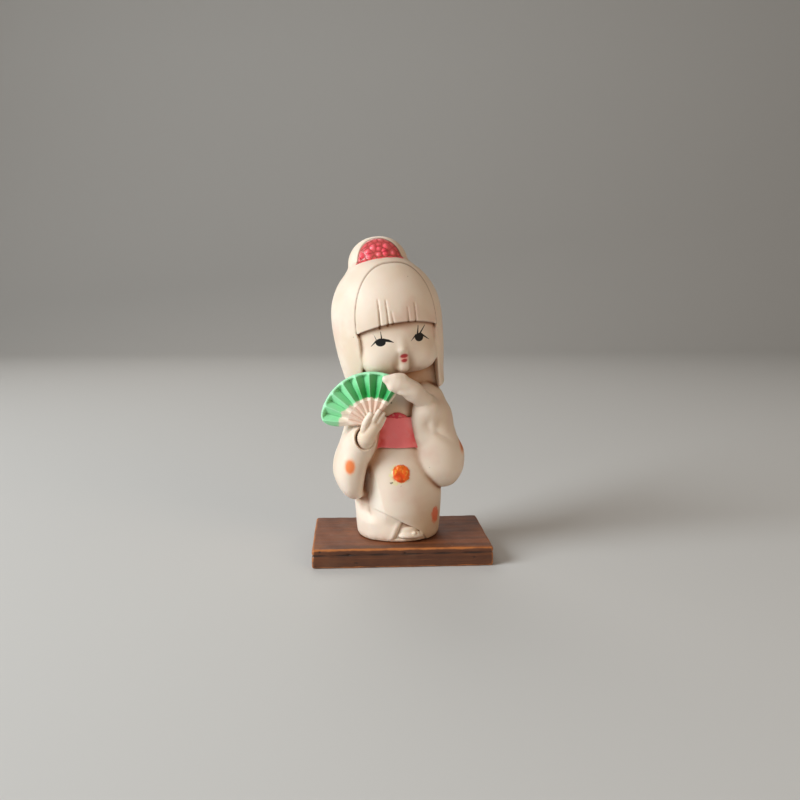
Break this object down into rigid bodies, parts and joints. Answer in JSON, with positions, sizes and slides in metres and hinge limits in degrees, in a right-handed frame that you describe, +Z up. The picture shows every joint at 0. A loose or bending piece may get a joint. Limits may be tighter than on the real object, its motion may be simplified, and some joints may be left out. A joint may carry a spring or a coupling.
{
  "type": "doll figurine on a plinth",
  "caption": "Standing kimono girl figurine of hand-painted cream vinyl, holding a folding fan, on a stained wooden plinth that she turns on and lifts off.",
  "frame": {"origin": "centre of the plinth's underside, on the surface that it stands on", "axes": "+Z up, along the figure's height; -Y the plinth's long front edge, which the figure faces; +X the figure's left"},
  "size_m": [0.09, 0.0583, 0.163],
  "materials": {
    "stained_wood": "dark walnut stain, satin, worn to bare wood at the edges",
    "bare_wood": "bare turned dowel",
    "bare_vinyl": "bare moulded vinyl, matte",
    "cream_vinyl": "cream rotocast vinyl, eggshell, airbrushed tan in the recesses",
    "pink_paint": "salmon pink hand paint, satin",
    "red_paint": "crimson over pink hand paint, satin",
    "green_paint": "mint to emerald green hand paint, satin"
  },
  "bodies": {
    "plinth": {"plinth": "stained_wood"},
    "peg": {"display_peg": "bare_wood"},
    "figure": {"base_plug": "bare_vinyl", "under_robe": "cream_vinyl", "kimono_body": "cream_vinyl", "foot": "cream_vinyl", "sash": "pink_paint", "sash_scarf": "red_paint", "sash_knot": "pink_paint", "left_sleeve": "cream_vinyl", "right_sleeve": "cream_vinyl", "left_hand": "cream_vinyl", "right_hand": "cream_vinyl", "fan_leaf": "green_paint", "fan_sticks": "cream_vinyl", "head": "cream_vinyl", "front_hair": "cream_vinyl", "back_hair": "cream_vinyl", "bun": "cream_vinyl", "hair_ornament": "red_paint"}
  },
  "joints": [
    {"name": "stand_turn", "type": "hinge", "parent": "plinth", "child": "peg", "pos_m": [0, 0, 0.01], "axis": [0, 0, 1], "continuous": true},
    {"name": "stand_lift", "type": "slide", "parent": "peg", "child": "figure", "axis": [0, 0, 1], "range_m": [0, 0.018]}
  ]
}
